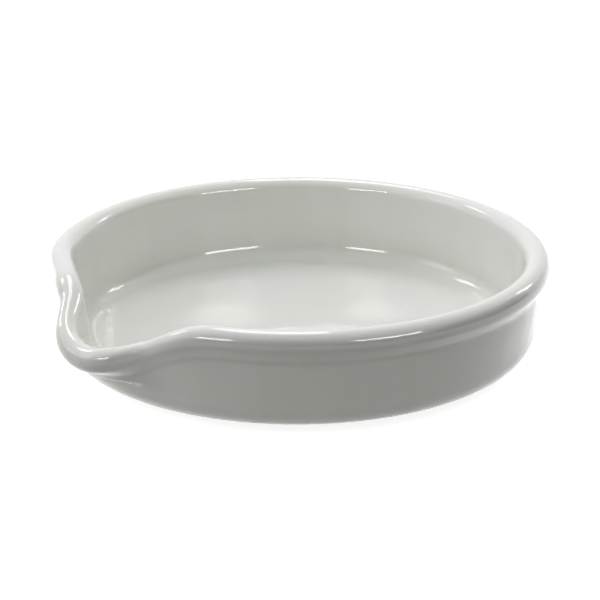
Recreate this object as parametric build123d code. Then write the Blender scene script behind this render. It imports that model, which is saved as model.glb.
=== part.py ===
from build123d import *
import os
from math import asin, atan2, cos, hypot, radians, sin, tan

# Evaporating dish, flat form, cast in one piece of glazed porcelain.
# Origin: on the axis of the bowl, in the plane of the flat base. Spout along -Y.
# Millimetres and degrees.

# Bowl
rim_diameter = 100.0
height = 20.7
foot_diameter = 75.0
floor_thickness = 3.0
wall_thickness = 3.0
outer_draft = 3.6
inner_draft = 3.0
base_rise = 1.8
outer_corner_radius = 4.7
inner_corner_radius = 4.5

# Rolled rim
lip_overhang = 1.9
lip_depth = 6.0
lip_radius = 2.45
rim_inner_radius = 2.4
neck_radius = 2.5

# Pouring spout. It is drawn out by hand, so the rim is pinched in on the left of it
# and runs out without a pinch on the right.
spout_reach = 7.0
spout_dip = 8.2
spout_lean = 37.0
spout_ramp = 3.5
spout_thinning = 0.08
reach_half_angle_left = 20.0
reach_half_angle_right = 15.0
dip_half_angle_left = 27.5
dip_half_angle_right = 32.0
pinch_depth = 1.1
pinch_angle = 30.5
pinch_half_angle = 20.0
section_count = 37

# Derived
wall_radius = rim_diameter / 2 - lip_overhang
wall_top = height - lip_depth
wall_foot_radius = wall_radius - (wall_top - base_rise) * tan(radians(outer_draft))
inner_lean = (height - floor_thickness) * tan(radians(inner_draft))
floor_corner_radius = wall_radius - wall_thickness - inner_lean
floor_disc_radius = floor_corner_radius / 2
spout_half_sector = max(pinch_angle + pinch_half_angle, dip_half_angle_left, dip_half_angle_right)


def bump(offset, half_width):
    """Smooth hump: one in the middle, nothing beyond half_width."""
    share = min(abs(offset) / half_width, 1.0)
    return (1.0 - share**2) ** 3


def plateau(offset, half_width):
    """Flat-topped hump: one over the middle, nothing beyond half_width."""
    share = min(abs(offset) / half_width, 1.0)
    return (1.0 - share**3) ** 3


def draw_of_rim(offset):
    """Reach, dip, lean, ramp and scale of the drawn rim at this angle from the spout."""
    if offset < 0:
        pulled = plateau(offset, reach_half_angle_left)
        let_down = bump(offset, dip_half_angle_left)
        pinched = pinch_depth * bump(-offset - pinch_angle, pinch_half_angle)
    else:
        pulled = plateau(offset, reach_half_angle_right)
        let_down = bump(offset, dip_half_angle_right)
        pinched = 0.0
    reach = spout_reach * pulled - pinched
    ramp = spout_ramp * let_down
    return reach, spout_dip * let_down, spout_lean * pulled, ramp, 1.0 - spout_thinning * pulled


def lip_corner():
    """How far beyond the wall the rim's top would meet the outer face of the lip."""
    centre_out = lip_overhang - lip_radius
    centre_up = lip_depth - lip_radius
    to_centre = hypot(centre_out, centre_up)
    face_angle = atan2(centre_up, centre_out) - asin(lip_radius / to_centre)
    return lip_depth / tan(face_angle)


def section(reach=0.0, dip=0.0, lean=0.0, ramp=0.0, scale=1.0):
    """Half section in the XZ plane, from the inner floor over the rim to the foot."""
    turn = radians(lean)

    def in_rim(out, up):
        """A point of the leaning rim, measured from its top over the wall's outer face."""
        across = scale * (out * cos(turn) + up * sin(turn))
        along = scale * (up * cos(turn) - out * sin(turn))
        return Vector(wall_radius + reach + across, 0, height - dip + along)

    neck = in_rim(0, -lip_depth)
    neck_end = in_rim(0, -lip_depth - neck_radius / 2)
    inside_and_rim = FilletPolyline(
        Vector(floor_disc_radius, 0, floor_thickness),
        Vector(floor_corner_radius - ramp, 0, floor_thickness),
        in_rim(-wall_thickness, 0),
        in_rim(lip_corner(), 0),
        neck,
        neck_end,
        radius=[
            inner_corner_radius,
            rim_inner_radius * scale,
            lip_radius * scale,
            neck_radius * scale,
        ],
    )

    wall_foot = Vector(wall_foot_radius, 0, base_rise)
    up_wall = (Vector(wall_radius, 0, wall_top) - wall_foot).normalized()
    foot_edge = Vector(foot_diameter / 2, 0, 0)
    corner_turn = up_wall.get_angle(wall_foot - foot_edge)
    corner_length = outer_corner_radius * tan(radians(corner_turn) / 2)
    wall_start = wall_foot + up_wall * (corner_length + 0.2)
    lower_corner = FilletPolyline(wall_start, wall_foot, foot_edge, radius=[outer_corner_radius])

    down_neck = (neck_end - neck).normalized()
    handle = (neck_end - wall_start).length / 3
    wall = Bezier(
        neck_end,
        neck_end + down_neck * handle,
        wall_start + up_wall * handle,
        wall_start,
    )
    return Wire(inside_and_rim.edges() + [wall] + lower_corner.edges())


def spout_skin():
    """Faces of the sector that holds the spout, lofted through radial sections."""
    sections = []
    for index in range(section_count):
        offset = spout_half_sector * (2 * index / (section_count - 1) - 1)
        sections.append(Rot(0, 0, offset - 90) * section(*draw_of_rim(offset)))
    return Shell.make_loft(sections).faces()


def round_skin():
    """Faces of the rest of the bowl, turned about its axis."""
    start = Rot(0, 0, spout_half_sector - 90) * section()
    return Shell.revolve(start, 360 - 2 * spout_half_sector, Axis.Z).faces()


def disc(faces, radius, level):
    """Flat round face that closes the edge of this radius at this level."""

    def is_on_circle(edge):
        points = [edge @ 0, edge @ 0.5]
        return all(abs(p.Z - level) < 1e-3 and abs(hypot(p.X, p.Y) - radius) < 1e-2 for p in points)

    return Face(Wire([edge for face in faces for edge in face.edges() if is_on_circle(edge)]))


def dish():
    """The dish: the skin closed by the inner floor and the flat base."""
    skin = spout_skin() + round_skin()
    floor = disc(skin, floor_disc_radius, floor_thickness)
    base = disc(skin, foot_diameter / 2, 0)
    return Solid(Shell(skin + [floor, base]))


os.makedirs("parts", exist_ok=True)
export_step(dish(), "parts/dish.step")
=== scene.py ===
import math

import bpy
import numpy as np
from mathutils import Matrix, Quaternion, Vector


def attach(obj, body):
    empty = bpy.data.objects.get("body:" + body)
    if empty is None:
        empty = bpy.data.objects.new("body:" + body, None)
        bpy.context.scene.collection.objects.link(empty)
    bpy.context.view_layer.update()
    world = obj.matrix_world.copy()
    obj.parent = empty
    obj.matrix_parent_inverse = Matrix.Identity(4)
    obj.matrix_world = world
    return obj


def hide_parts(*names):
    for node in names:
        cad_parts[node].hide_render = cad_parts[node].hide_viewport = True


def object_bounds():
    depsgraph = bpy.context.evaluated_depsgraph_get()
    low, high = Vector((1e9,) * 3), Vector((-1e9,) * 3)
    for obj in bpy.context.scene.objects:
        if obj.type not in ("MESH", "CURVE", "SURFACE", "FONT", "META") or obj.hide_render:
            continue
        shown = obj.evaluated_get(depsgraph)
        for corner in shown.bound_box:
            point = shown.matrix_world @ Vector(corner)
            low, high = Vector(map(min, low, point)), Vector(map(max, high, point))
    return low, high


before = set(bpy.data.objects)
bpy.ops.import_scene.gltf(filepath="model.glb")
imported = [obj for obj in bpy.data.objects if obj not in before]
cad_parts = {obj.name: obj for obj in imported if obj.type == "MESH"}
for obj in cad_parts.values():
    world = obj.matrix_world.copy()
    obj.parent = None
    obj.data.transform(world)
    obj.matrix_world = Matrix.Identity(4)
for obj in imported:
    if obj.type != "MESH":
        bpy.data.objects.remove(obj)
cad_low, cad_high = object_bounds()

# Sizes are in millimetres and degrees until a mesh is made, as on a drawing of the dish.
MM = 0.001

# Bowl. Its height and the radius of its rim are read from the frame.
HEIGHT = cad_high.z / MM
RIM_RADIUS = (cad_high.x - cad_low.x) / MM / 2
FOOT_RADIUS = 37.5
FLOOR = 3.0
WALL = 3.0
OUTER_DRAFT = 3.6
INNER_DRAFT = 3.0
BASE_RISE = 1.8
OUTER_CORNER = 4.7
INNER_CORNER = 4.5

# Rolled rim
LIP_OVERHANG = 1.9
LIP_DEPTH = 6.0
LIP_RADIUS = 2.45
RIM_INNER_RADIUS = 2.4
NECK_RADIUS = 2.5

# Pouring spout. A pair of values is for the left and the right of its axis.
SPOUT_REACH = 7.0
SPOUT_DIP = 8.2
SPOUT_LEAN = 37.0
SPOUT_RAMP = 3.5
SPOUT_THINNING = 0.08
REACH_HALF_ANGLE = (20.0, 15.0)
DIP_HALF_ANGLE = (27.5, 32.0)
PINCH_DEPTH = (1.1, 0.0)
PINCH_ANGLE = 30.5
PINCH_HALF_ANGLE = 20.0

# Sizes that follow from the ones above
WALL_RADIUS = RIM_RADIUS - LIP_OVERHANG
WALL_TOP = HEIGHT - LIP_DEPTH
WALL_FOOT_RADIUS = WALL_RADIUS - (WALL_TOP - BASE_RISE) * math.tan(math.radians(OUTER_DRAFT))
INNER_LEAN = (HEIGHT - FLOOR) * math.tan(math.radians(INNER_DRAFT))
FLOOR_CORNER_RADIUS = WALL_RADIUS - WALL - INNER_LEAN
FLOOR_DISC_RADIUS = FLOOR_CORNER_RADIUS / 2
SPOUT_SECTOR = PINCH_ANGLE + PINCH_HALF_ANGLE

# Density of the mesh: steps along each line and arc of the section, then steps round the dish
INSIDE_LINE_STEPS = (10, 14, 2, 8, 2)
INSIDE_ARC_STEPS = (28, 14, 18, 6)
WALL_STEPS = 20
LOWER_LINE_STEPS = (1, 8)
LOWER_ARC_STEPS = (14,)
LOWER_RUN = 0.2
FLOOR_STEPS = 14
FOOT_STEPS = 8
SPOUT_STEPS = 204
ROUND_STEPS = 336

# Colours, linear
GLAZE = (0.865, 0.865, 0.815)
GLAZE_COOL = (0.88, 0.885, 0.855)
POOLED_GLAZE = (0.82, 0.835, 0.765)
SPECK = (0.045, 0.035, 0.025)
BISCUIT = (0.62, 0.60, 0.55)
BISCUIT_GRAIN = (0.50, 0.475, 0.42)

# Pattern of the glaze: scales of noise are per metre, and edges are values of the noise
CLOUD_SCALE = 28.0
CLOUD_EDGES = (0.35, 0.65)
RUN_SCALE = 170.0
RUN_SQUEEZE = 0.18
RUN_EDGES = (0.50, 0.72)
RUN_POOLING = 0.3
WALL_RADII = (41.0, 44.0)
WALL_LEVELS = (15.0, 19.0)
CORNER_RADII = (34.0, 40.0)
CORNER_LEVELS = (4.0, 13.0)
CORNER_POOLING = 0.45

# Unevenness of the glaze: scale of the noise and depth
WAVE_SCALE = 52.0
WAVE_DEPTH = 0.16
RUN_DEPTH = 0.10
RIPPLE_SCALE = 420.0
RIPPLE_DEPTH = 0.006
SPECK_DEPTH = 0.04

# Speck burnt into the glaze: place and radius. Its soft edge lies at these shares of the radius.
SPECKS = (
    (4.5, 24.6, 3.0, 0.20),
)
SPECK_EDGES = (0.7, 2.0)
SPECK_SCALE = 2500.0
SPECK_WANDER = 0.3

# Fine specks: scale of their pattern, edges of a speck and of the patches that hold any
FINE_SPECK_SCALE = 95.0
FINE_SPECK_EDGES = (0.004, 0.016)
FINE_PATCH_SCALE = 31.0
FINE_PATCH_EDGES = (0.60, 0.66)
FINE_SPECK_DARKNESS = 0.55

# Bare foot: grain of the biscuit, and the level where the glaze ends and how much it wanders
GRAIN_SCALE = 2600.0
GRAIN_EDGES = (0.42, 0.72)
GRAIN_DEPTH = 0.05
GLAZE_END = (0.28, 0.36)
GLAZE_END_SCALE = 160.0
GLAZE_END_WANDER = 0.35

# View of the photograph
VIEW_AZIMUTH = 47.64
VIEW_ELEVATION = 20.13
VIEW_DISTANCE = 0.400
VIEW_TARGET_RIGHT = 0.00036
VIEW_TARGET_UP = 0.00913
VIEW_ROLL = -0.17
FOCAL_LENGTH = 119.36
SENSOR_WIDTH = 36.0

# Lamps: direction from the dish, 0 towards the camera and 90 to its right, then elevation,
# distance and size in metres, brightness where 1 is white, and whether it lights the dish too
# or only shows in the gloss
LAMPS = {
    "front_right": (40, 26, 0.60, (0.30, 0.10), 12.0, False),
    "front_left": (-40, 26, 0.60, (0.22, 0.10), 12.0, False),
    "left_soft": (-90, 30, 0.60, (0.20, 0.20), 1.5, True),
    "right_back": (129, 27, 0.60, (0.07, 0.12), 6.0, True),
    "left_back": (-127, 38, 0.60, (0.10, 0.12), 6.0, True),
    "back_window": (-173, 60, 0.60, (0.16, 0.30), 4.5, True),
}

# Pools of soft light on the inner floor: place and width in millimetres, and brightness
POOLS = {
    "pool_left": ((-15.6, -6.1, 3.0), 20, 0.14),
    "pool_right": ((3.1, 18.7, 3.0), 17, 0.12),
}
POOL_TURN = 180
POOL_ELEVATION = 80
POOL_DISTANCE = 0.60
POOL_LAMP_RADIUS = 0.002

# Cards in the room that show in the glaze: direction and elevation as above, distance and size
# in metres, and colour
CARDS = {
    "room_front": (0, 24, 0.90, (2.6, 0.9), (0.75, 0.75, 0.71)),
    "dark_right": (88, 12, 0.70, (0.80, 0.60), (0.04, 0.04, 0.04)),
}
CARD_ROUGHNESS = 0.9

# Table, with its width in metres, and room
FLOOR_WIDTH = 6.0
FLOOR_DROP = 0.1
FLOOR_SEEN = (0.90, 0.90, 0.90)
FLOOR_GLOW = 0.80
FLOOR_NEAR = (0.55, 0.55, 0.56)
FLOOR_FAR = (0.08, 0.078, 0.07)
FLOOR_NEAR_RADIUS = 58.0
FLOOR_NEAR_FADE = 3.0
ROOM_COLOUR = (0.97, 0.98, 1.0)
ROOM_LIGHT = 0.72


# Shape

def bump(offset, half_width):
    """Smooth hump: one in the middle, nothing beyond half_width."""
    share = min(abs(offset) / half_width, 1.0)
    return (1.0 - share**2) ** 3


def plateau(offset, half_width):
    """Flat-topped hump: one over the middle, nothing beyond half_width."""
    share = min(abs(offset) / half_width, 1.0)
    return (1.0 - share**3) ** 3


def draw_of_rim(offset):
    """Reach, dip, lean, ramp and scale of the drawn rim at this angle from the spout."""
    side = 0 if offset < 0 else 1
    pulled = plateau(offset, REACH_HALF_ANGLE[side])
    let_down = bump(offset, DIP_HALF_ANGLE[side])
    pinched = PINCH_DEPTH[side] * bump(abs(offset) - PINCH_ANGLE, PINCH_HALF_ANGLE)
    return (
        SPOUT_REACH * pulled - pinched,
        SPOUT_DIP * let_down,
        SPOUT_LEAN * pulled,
        SPOUT_RAMP * let_down,
        1.0 - SPOUT_THINNING * pulled,
    )


def unit(vector):
    """The vector's direction, one long."""
    return vector / np.linalg.norm(vector)


def rounded(corners, radii, line_steps, arc_steps):
    """Points along a polyline whose inner corners are rounded, evenly spaced on each piece."""
    corners = [np.asarray(corner, float) for corner in corners]
    points = []
    start = corners[0]
    for i, radius in enumerate(radii):
        corner = corners[i + 1]
        back = unit(corners[i] - corner)
        onward = unit(corners[i + 2] - corner)
        half = math.acos(np.clip(back @ onward, -1, 1)) / 2
        reach = radius / math.tan(half)
        enter = corner + back * reach
        leave = corner + onward * reach
        centre = corner + unit(back + onward) * radius / math.sin(half)
        first = math.atan2(*(enter - centre)[::-1])
        turn = math.atan2(*(leave - centre)[::-1]) - first
        turn = (turn + math.pi) % (2 * math.pi) - math.pi
        for k in range(line_steps[i]):
            points.append(start + (enter - start) * k / line_steps[i])
        for k in range(arc_steps[i]):
            angle = first + turn * k / arc_steps[i]
            points.append(centre + radius * np.array([math.cos(angle), math.sin(angle)]))
        start = leave
    for k in range(line_steps[-1] + 1):
        points.append(start + (corners[-1] - start) * k / line_steps[-1])
    return points


def lip_corner():
    """How far beyond the wall the rim's top would meet the outer face of the lip."""
    centre_out = LIP_OVERHANG - LIP_RADIUS
    centre_up = LIP_DEPTH - LIP_RADIUS
    to_centre = math.hypot(centre_out, centre_up)
    face_angle = math.atan2(centre_up, centre_out) - math.asin(LIP_RADIUS / to_centre)
    return LIP_DEPTH / math.tan(face_angle)


def outer_wall(neck, neck_end, wall_start, up_wall):
    """Points of the outer wall, a smooth curve from the neck down to the lower corner."""
    handle = np.linalg.norm(neck_end - wall_start) / 3
    near_neck = neck_end + unit(neck_end - neck) * handle
    near_wall = wall_start + up_wall * handle
    points = []
    for t in np.linspace(0, 1, WALL_STEPS + 1)[1:-1]:
        points.append(
            (1 - t) ** 3 * neck_end
            + 3 * (1 - t) ** 2 * t * near_neck
            + 3 * (1 - t) * t**2 * near_wall
            + t**3 * wall_start
        )
    return points


def section(reach=0.0, dip=0.0, lean=0.0, ramp=0.0, scale=1.0):
    """Half section of the dish, from the inner floor over the rim to the foot, as (r, z) rows."""
    cos_lean = math.cos(math.radians(lean))
    sin_lean = math.sin(math.radians(lean))

    def in_rim(out, up):
        """A point of the leaning rim, measured from its top over the wall's outer face."""
        across = scale * (out * cos_lean + up * sin_lean)
        along = scale * (up * cos_lean - out * sin_lean)
        return np.array([WALL_RADIUS + reach + across, HEIGHT - dip + along])

    neck = in_rim(0, -LIP_DEPTH)
    neck_end = in_rim(0, -LIP_DEPTH - NECK_RADIUS / 2)
    inside_and_rim = rounded(
        [
            (FLOOR_DISC_RADIUS, FLOOR),
            (FLOOR_CORNER_RADIUS - ramp, FLOOR),
            in_rim(-WALL, 0),
            in_rim(lip_corner(), 0),
            neck,
            neck_end,
        ],
        [INNER_CORNER, RIM_INNER_RADIUS * scale, LIP_RADIUS * scale, NECK_RADIUS * scale],
        INSIDE_LINE_STEPS,
        INSIDE_ARC_STEPS,
    )

    wall_foot = np.array([WALL_FOOT_RADIUS, BASE_RISE])
    foot_edge = np.array([FOOT_RADIUS, 0.0])
    up_wall = unit(np.array([WALL_RADIUS, WALL_TOP]) - wall_foot)
    turn = math.acos(np.clip(up_wall @ unit(wall_foot - foot_edge), -1, 1))
    wall_start = wall_foot + up_wall * (OUTER_CORNER * math.tan(turn / 2) + LOWER_RUN)
    lower_corner = rounded(
        [wall_start, wall_foot, foot_edge],
        [OUTER_CORNER],
        LOWER_LINE_STEPS,
        LOWER_ARC_STEPS,
    )
    wall = outer_wall(neck, neck_end, wall_start, up_wall)
    return np.array(inside_and_rim + wall + lower_corner)


def ring_angles():
    """Angles from the spout, close together where the rim is drawn out."""
    drawn = np.linspace(-SPOUT_SECTOR, SPOUT_SECTOR, SPOUT_STEPS, endpoint=False)
    plain = np.linspace(SPOUT_SECTOR, 360 - SPOUT_SECTOR, ROUND_STEPS, endpoint=False)
    return np.concatenate([drawn, plain])


def flat_rings(radii, level, count):
    """Points at these radii and one level, the same at each of count angles."""
    rings = np.stack([radii, np.full(len(radii), level)], axis=1)
    return np.repeat(rings[None], count, axis=0)


def skin_rows(angles):
    """The section at every angle, with points added across the inner floor and the foot."""
    plain = section()
    sections = []
    for angle in angles:
        offset = angle if angle < 180 else angle - 360
        drawn = abs(offset) < SPOUT_SECTOR
        sections.append(section(*draw_of_rim(offset)) if drawn else plain)
    floor_radii = FLOOR_DISC_RADIUS * np.linspace(0, 1, FLOOR_STEPS + 1)[1:-1]
    foot_radii = FOOT_RADIUS * np.linspace(1, 0, FOOT_STEPS + 1)[1:-1]
    floor = flat_rings(floor_radii, FLOOR, len(angles))
    foot = flat_rings(foot_radii, 0.0, len(angles))
    return np.concatenate([floor, np.array(sections), foot], axis=1)


def skin_faces(count, rings):
    """Quads between neighbouring angles, and fans that close the inner floor and the foot."""
    here = np.arange(count * rings).reshape(count, rings)
    after = np.roll(here, -1, axis=0)
    quads = np.stack([here[:, 1:], after[:, 1:], after[:, :-1], here[:, :-1]], axis=-1)
    floor_centre = count * rings
    foot_centre = floor_centre + 1
    faces = quads.reshape(-1, 4).tolist()
    faces += [[floor_centre, int(here[i, 0]), int(after[i, 0])] for i in range(count)]
    faces += [[foot_centre, int(after[i, -1]), int(here[i, -1])] for i in range(count)]
    return faces


def dish_mesh():
    """The whole skin of the dish as one closed mesh."""
    angles = ring_angles()
    rows = skin_rows(angles)
    around = np.radians(angles - 90)[:, None]
    x = rows[:, :, 0] * np.cos(around)
    y = rows[:, :, 0] * np.sin(around)
    points = np.stack([x, y, rows[:, :, 1]], axis=2).reshape(-1, 3)
    centres = np.array([[0, 0, FLOOR], [0, 0, 0]])
    verts = np.vstack([points, centres]) * MM
    mesh = bpy.data.meshes.new("glazed_dish")
    mesh.from_pydata(verts.tolist(), [], skin_faces(len(angles), rows.shape[1]))
    mesh.validate()
    for polygon in mesh.polygons:
        polygon.use_smooth = True
    return mesh


# Materials

def in_metres(sizes):
    """Millimetres as the metres that a material works in."""
    return [size * MM for size in sizes]


def mix_shaders(tree, share, first, second):
    """The first shader where the share is 0, and the second where it is 1."""
    mix = tree.nodes.new("ShaderNodeMixShader")
    tree.links.new(share, mix.inputs[0])
    tree.links.new(first, mix.inputs[1])
    tree.links.new(second, mix.inputs[2])
    return mix.outputs[0]


class Shading:
    """A material's node tree, with short ways to add what the glaze is made of."""

    def __init__(self, name):
        self.material = bpy.data.materials.new(name)
        self.material.use_nodes = True
        self.tree = self.material.node_tree
        self.tree.nodes.clear()
        self.output = self.tree.nodes.new("ShaderNodeOutputMaterial")
        self.place = self.tree.nodes.new("ShaderNodeTexCoord").outputs["Object"]

    def link(self, source, target):
        """Feeds a socket from another socket, or sets it to a plain value."""
        if isinstance(source, bpy.types.NodeSocket):
            self.tree.links.new(source, target)
        elif isinstance(source, tuple) and len(source) == 3 and target.type == "RGBA":
            target.default_value = (*source, 1)
        else:
            target.default_value = source

    def math(self, operation, *values):
        node = self.tree.nodes.new("ShaderNodeMath")
        node.operation = operation
        for value, socket in zip(values, node.inputs):
            self.link(value, socket)
        return node.outputs["Value"]

    def times(self, first, second):
        return self.math("MULTIPLY", first, second)

    def rise(self, value, low, high):
        """0 at low, 1 at high and smooth between them."""
        node = self.tree.nodes.new("ShaderNodeMapRange")
        node.interpolation_type = "SMOOTHSTEP"
        self.link(value, node.inputs["Value"])
        node.inputs["From Min"].default_value = low
        node.inputs["From Max"].default_value = high
        return node.outputs["Result"]

    def fall(self, value, low, high):
        """1 at low, 0 at high and smooth between them."""
        return self.math("SUBTRACT", 1.0, self.rise(value, low, high))

    def noise(self, scale, detail=2.0, vector=None):
        node = self.tree.nodes.new("ShaderNodeTexNoise")
        self.link(self.place if vector is None else vector, node.inputs["Vector"])
        node.inputs["Scale"].default_value = scale
        node.inputs["Detail"].default_value = detail
        return node.outputs["Fac"]

    def blend(self, share, first, second):
        node = self.tree.nodes.new("ShaderNodeMix")
        node.data_type = "RGBA"
        self.link(share, node.inputs["Factor"])
        self.link(first, node.inputs["A"])
        self.link(second, node.inputs["B"])
        return node.outputs["Result"]

    def axes(self):
        node = self.tree.nodes.new("ShaderNodeSeparateXYZ")
        self.link(self.place, node.inputs["Vector"])
        return node.outputs["X"], node.outputs["Y"], node.outputs["Z"]

    def vector(self, *values):
        node = self.tree.nodes.new("ShaderNodeCombineXYZ")
        for value, socket in zip(values, node.inputs):
            self.link(value, socket)
        return node.outputs["Vector"]

    def distance(self, place):
        node = self.tree.nodes.new("ShaderNodeVectorMath")
        node.operation = "DISTANCE"
        self.link(self.place, node.inputs[0])
        node.inputs[1].default_value = place
        return node.outputs["Value"]

    def bump(self, height, depth, normal=None):
        """The normal of a surface whose height, from 0 to 1, is worth this many millimetres."""
        node = self.tree.nodes.new("ShaderNodeBump")
        self.link(height, node.inputs["Height"])
        node.inputs["Distance"].default_value = depth * MM
        if normal is not None:
            self.link(normal, node.inputs["Normal"])
        return node.outputs["Normal"]

    def principled(self, **values):
        node = self.tree.nodes.new("ShaderNodeBsdfPrincipled")
        for name, value in values.items():
            self.link(value, node.inputs[name.replace("_", " ").title().replace("Ior", "IOR")])
        return node.outputs["BSDF"]


def speck_mask(shading):
    """1 on the dark speck burnt into the glaze, with a soft edge."""
    mask = 0.0
    for x, y, z, radius in SPECKS:
        near = shading.distance((x * MM, y * MM, z * MM))
        wander = shading.math("MULTIPLY_ADD", shading.noise(SPECK_SCALE), SPECK_WANDER * MM, near)
        low, high = in_metres(radius * share for share in SPECK_EDGES)
        mask = shading.math("MAXIMUM", mask, shading.fall(wander, low, high))
    return mask


def fine_specks(shading):
    """Pinholes and tiny specks, sparse and faint."""
    node = shading.tree.nodes.new("ShaderNodeTexVoronoi")
    shading.link(shading.place, node.inputs["Vector"])
    node.inputs["Scale"].default_value = FINE_SPECK_SCALE
    spot = shading.fall(node.outputs["Distance"], *FINE_SPECK_EDGES)
    patch = shading.rise(shading.noise(FINE_PATCH_SCALE), *FINE_PATCH_EDGES)
    return shading.times(shading.times(spot, patch), FINE_SPECK_DARKNESS)


def runs(shading, x, y, z):
    """Long soft streaks down the walls, where the glaze ran a little before it set."""
    around = shading.times(shading.math("ARCTAN2", y, x), RIM_RADIUS * MM)
    stretched = shading.vector(around, 0.0, shading.times(z, RUN_SQUEEZE))
    return shading.noise(RUN_SCALE, 3.0, stretched)


def glaze_colour(shading, radius, z, streaks, on_wall, specks):
    """Cloudy white, a little greener in the corner and the runs, and dark on the specks."""
    cloud = shading.rise(shading.noise(CLOUD_SCALE, 3.0), *CLOUD_EDGES)
    in_corner = shading.times(
        shading.rise(radius, *in_metres(CORNER_RADII)),
        shading.fall(z, *in_metres(CORNER_LEVELS)),
    )
    in_run = shading.times(shading.rise(streaks, *RUN_EDGES), on_wall)
    pooled = shading.math(
        "ADD",
        shading.times(in_corner, CORNER_POOLING),
        shading.times(in_run, RUN_POOLING),
    )
    colour = shading.blend(cloud, GLAZE, GLAZE_COOL)
    colour = shading.blend(pooled, colour, POOLED_GLAZE)
    return shading.blend(specks, colour, SPECK)


def glaze_waves(shading, streaks, on_wall, specks):
    """The glaze's normal: slow waves, runs on the walls, fine ripples and raised specks."""
    normal = shading.bump(shading.noise(WAVE_SCALE), WAVE_DEPTH)
    normal = shading.bump(shading.times(streaks, on_wall), RUN_DEPTH, normal)
    normal = shading.bump(shading.noise(RIPPLE_SCALE), RIPPLE_DEPTH, normal)
    return shading.bump(specks, SPECK_DEPTH, normal)


def glaze_surface(shading, x, y, z):
    """Clear glossy glaze on a white body that lets a little light in."""
    squares = shading.math("ADD", shading.times(x, x), shading.times(y, y))
    radius = shading.math("SQRT", squares)
    streaks = runs(shading, x, y, z)
    on_wall = shading.times(
        shading.rise(radius, *in_metres(WALL_RADII)),
        shading.fall(z, *in_metres(WALL_LEVELS)),
    )
    specks = shading.math("MAXIMUM", speck_mask(shading), fine_specks(shading))
    normal = glaze_waves(shading, streaks, on_wall, specks)
    return shading.principled(
        base_color=glaze_colour(shading, radius, z, streaks, on_wall, specks),
        roughness=0.42,
        specular_ior_level=0.30,
        subsurface_weight=0.5,
        subsurface_radius=(1.0, 0.95, 0.80),
        subsurface_scale=2.0 * MM,
        coat_weight=1.0,
        coat_roughness=0.035,
        coat_ior=1.52,
        normal=normal,
        coat_normal=normal,
    )


def biscuit_surface(shading):
    """Dull, grainy bare porcelain."""
    grain = shading.noise(GRAIN_SCALE, 6.0)
    return shading.principled(
        base_color=shading.blend(shading.rise(grain, *GRAIN_EDGES), BISCUIT, BISCUIT_GRAIN),
        roughness=0.85,
        specular_ior_level=0.25,
        normal=shading.bump(grain, GRAIN_DEPTH),
    )


def glaze_material():
    """Glaze over the whole dish, down to a wandering line above the bare foot."""
    shading = Shading("porcelain_glaze")
    x, y, z = shading.axes()
    wander = shading.noise(GLAZE_END_SCALE, 3.0)
    level = shading.math("MULTIPLY_ADD", wander, GLAZE_END_WANDER * MM, z)
    unglazed = shading.fall(level, *in_metres(GLAZE_END))
    glaze = glaze_surface(shading, x, y, z)
    bare = biscuit_surface(shading)
    surface = mix_shaders(shading.tree, unglazed, glaze, bare)
    shading.link(surface, shading.output.inputs["Surface"])
    return shading.material


def seen_directly(tree):
    """1 for rays from the camera, from gloss and through glass, 0 for light that the room spreads."""
    path = tree.nodes.new("ShaderNodeLightPath")
    total = path.outputs["Is Camera Ray"]
    for name in ("Is Glossy Ray", "Is Transmission Ray"):
        node = tree.nodes.new("ShaderNodeMath")
        node.operation = "MAXIMUM"
        tree.links.new(total, node.inputs[0])
        tree.links.new(path.outputs[name], node.inputs[1])
        total = node.outputs["Value"]
    return total


def table_colour(tree):
    """The colour that the table throws back: pale round the dish, and dark farther out."""
    place = tree.nodes.new("ShaderNodeTexCoord")
    radius = tree.nodes.new("ShaderNodeVectorMath")
    radius.operation = "LENGTH"
    tree.links.new(place.outputs["Object"], radius.inputs[0])
    far = tree.nodes.new("ShaderNodeMapRange")
    far.inputs["From Min"].default_value = FLOOR_NEAR_RADIUS * MM
    far.inputs["From Max"].default_value = (FLOOR_NEAR_RADIUS + FLOOR_NEAR_FADE) * MM
    tree.links.new(radius.outputs["Value"], far.inputs["Value"])
    colour = tree.nodes.new("ShaderNodeMix")
    colour.data_type = "RGBA"
    colour.inputs["A"].default_value = (*FLOOR_NEAR, 1)
    colour.inputs["B"].default_value = (*FLOOR_FAR, 1)
    tree.links.new(far.outputs["Result"], colour.inputs["Factor"])
    return colour.outputs["Result"]


def floor_material():
    """White with a faint shadow where it is seen, and the table's own colour for the light."""
    material = bpy.data.materials.new("floor")
    material.use_nodes = True
    tree = material.node_tree
    tree.nodes.clear()
    white = tree.nodes.new("ShaderNodeBsdfDiffuse")
    white.inputs["Color"].default_value = (*FLOOR_SEEN, 1)
    glow = tree.nodes.new("ShaderNodeEmission")
    glow.inputs["Strength"].default_value = FLOOR_GLOW
    seen = tree.nodes.new("ShaderNodeAddShader")
    tree.links.new(white.outputs[0], seen.inputs[0])
    tree.links.new(glow.outputs[0], seen.inputs[1])
    table = tree.nodes.new("ShaderNodeBsdfDiffuse")
    tree.links.new(table_colour(tree), table.inputs["Color"])
    output = tree.nodes.new("ShaderNodeOutputMaterial")
    surface = mix_shaders(tree, seen_directly(tree), table.outputs[0], seen.outputs[0])
    tree.links.new(surface, output.inputs["Surface"])
    return material


def card_material(name, colour):
    """Plain dull card."""
    material = bpy.data.materials.new(name)
    material.use_nodes = True
    shader = material.node_tree.nodes["Principled BSDF"]
    shader.inputs["Base Color"].default_value = (*colour, 1)
    shader.inputs["Roughness"].default_value = CARD_ROUGHNESS
    return material


# Stage

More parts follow.
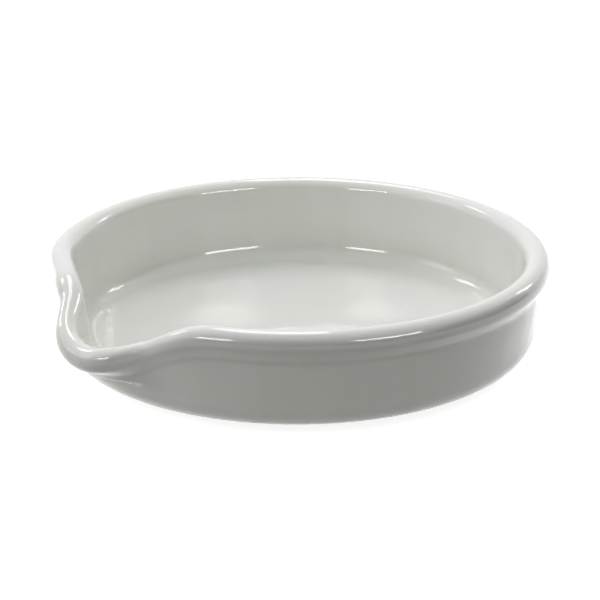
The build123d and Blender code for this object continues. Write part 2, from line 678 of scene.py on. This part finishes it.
def from_camera(turn, elevation, distance):
    """Place at this distance from the dish, turned from the camera's side to its right."""
    azimuth = math.radians(VIEW_AZIMUTH + turn)
    level = distance * math.cos(math.radians(elevation))
    height = distance * math.sin(math.radians(elevation))
    return Vector((math.sin(azimuth) * level, -math.cos(azimuth) * level, height))


def aim(thing, target):
    """Turns a lamp or a card to face this place."""
    thing.rotation_euler = (target - thing.location).to_track_quat("-Z", "Y").to_euler()


def rectangle(name, width, height):
    """A flat rectangle round its own middle."""
    x, y = width / 2, height / 2
    mesh = bpy.data.meshes.new(name)
    mesh.from_pydata([(-x, -y, 0), (x, -y, 0), (x, y, 0), (-x, y, 0)], [], [(0, 1, 2, 3)])
    sheet = bpy.data.objects.new(name, mesh)
    bpy.context.scene.collection.objects.link(sheet)
    return sheet


def add_dish():
    """The dish itself, which takes the place of the CAD model of it."""
    dish = bpy.data.objects.new("glazed_dish", dish_mesh())
    bpy.context.scene.collection.objects.link(dish)
    dish.data.materials.append(glaze_material())
    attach(dish, "root")
    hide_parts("dish")


def add_camera():
    """The camera of the photograph."""
    azimuth = math.radians(VIEW_AZIMUTH)
    elevation = math.radians(VIEW_ELEVATION)
    level_back = Vector((math.sin(azimuth), -math.cos(azimuth), 0))
    right = Vector((math.cos(azimuth), math.sin(azimuth), 0))
    up = Vector((0, 0, 1))
    back = level_back * math.cos(elevation) + up * math.sin(elevation)
    look = (-back).to_track_quat("-Z", "Y")
    roll = Quaternion(back, math.radians(VIEW_ROLL))
    data = bpy.data.cameras.new("camera")
    data.lens = FOCAL_LENGTH
    data.sensor_width = SENSOR_WIDTH
    camera = bpy.data.objects.new("camera", data)
    camera.location = right * VIEW_TARGET_RIGHT + up * VIEW_TARGET_UP + back * VIEW_DISTANCE
    camera.rotation_mode = "QUATERNION"
    camera.rotation_quaternion = roll @ look
    bpy.context.scene.collection.objects.link(camera)
    bpy.context.scene.camera = camera


def add_floor():
    """The table, a little below the foot."""
    floor = rectangle("floor", FLOOR_WIDTH, FLOOR_WIDTH)
    floor.location.z = -FLOOR_DROP * MM
    floor.data.materials.append(floor_material())


def set_world():
    """White where it is seen, and a soft grey room light."""
    world = bpy.data.worlds.new("studio")
    bpy.context.scene.world = world
    world.use_nodes = True
    tree = world.node_tree
    tree.nodes.clear()
    room = tree.nodes.new("ShaderNodeBackground")
    room.inputs["Color"].default_value = (*ROOM_COLOUR, 1)
    room.inputs["Strength"].default_value = ROOM_LIGHT
    white = tree.nodes.new("ShaderNodeBackground")
    white.inputs["Color"].default_value = (1, 1, 1, 1)
    output = tree.nodes.new("ShaderNodeOutputWorld")
    surface = mix_shaders(tree, seen_directly(tree), room.outputs[0], white.outputs[0])
    tree.links.new(surface, output.inputs["Surface"])
    bpy.context.scene.view_settings.view_transform = "Standard"


def add_card(name, turn, elevation, distance, size, colour):
    """A flat card that stands in the room and shows in the glaze."""
    card = rectangle(name, *size)
    card.location = from_camera(turn, elevation, distance)
    aim(card, Vector())
    card.visible_camera = False
    card.data.materials.append(card_material(name, colour))


def add_lamp(name, turn, elevation, distance, size, brightness, lights_dish):
    """A rectangular soft lamp that faces the dish."""
    width, height = size
    data = bpy.data.lights.new(name, "AREA")
    data.shape = "RECTANGLE"
    data.size = width
    data.size_y = height
    data.energy = brightness * math.pi * width * height
    lamp = bpy.data.objects.new(name, data)
    lamp.visible_diffuse = lights_dish
    lamp.location = from_camera(turn, elevation, distance)
    aim(lamp, Vector())
    bpy.context.scene.collection.objects.link(lamp)


def add_pool(name, place, width, brightness):
    """A narrow soft beam from above that brightens one place on the inner floor."""
    data = bpy.data.lights.new(name, "SPOT")
    data.shadow_soft_size = POOL_LAMP_RADIUS
    data.spot_size = 2 * math.atan(width * MM / 2 / POOL_DISTANCE)
    data.spot_blend = 1.0
    data.energy = brightness * 4 * math.pi**2 * POOL_DISTANCE**2
    target = Vector(place) * MM
    lamp = bpy.data.objects.new(name, data)
    lamp.location = target + from_camera(POOL_TURN, POOL_ELEVATION, POOL_DISTANCE)
    aim(lamp, target)
    lamp.visible_glossy = False
    bpy.context.scene.collection.objects.link(lamp)


add_dish()
add_camera()
add_floor()
set_world()
for name, card in CARDS.items():
    add_card(name, *card)
for name, lamp in LAMPS.items():
    add_lamp(name, *lamp)
for name, pool in POOLS.items():
    add_pool(name, *pool)
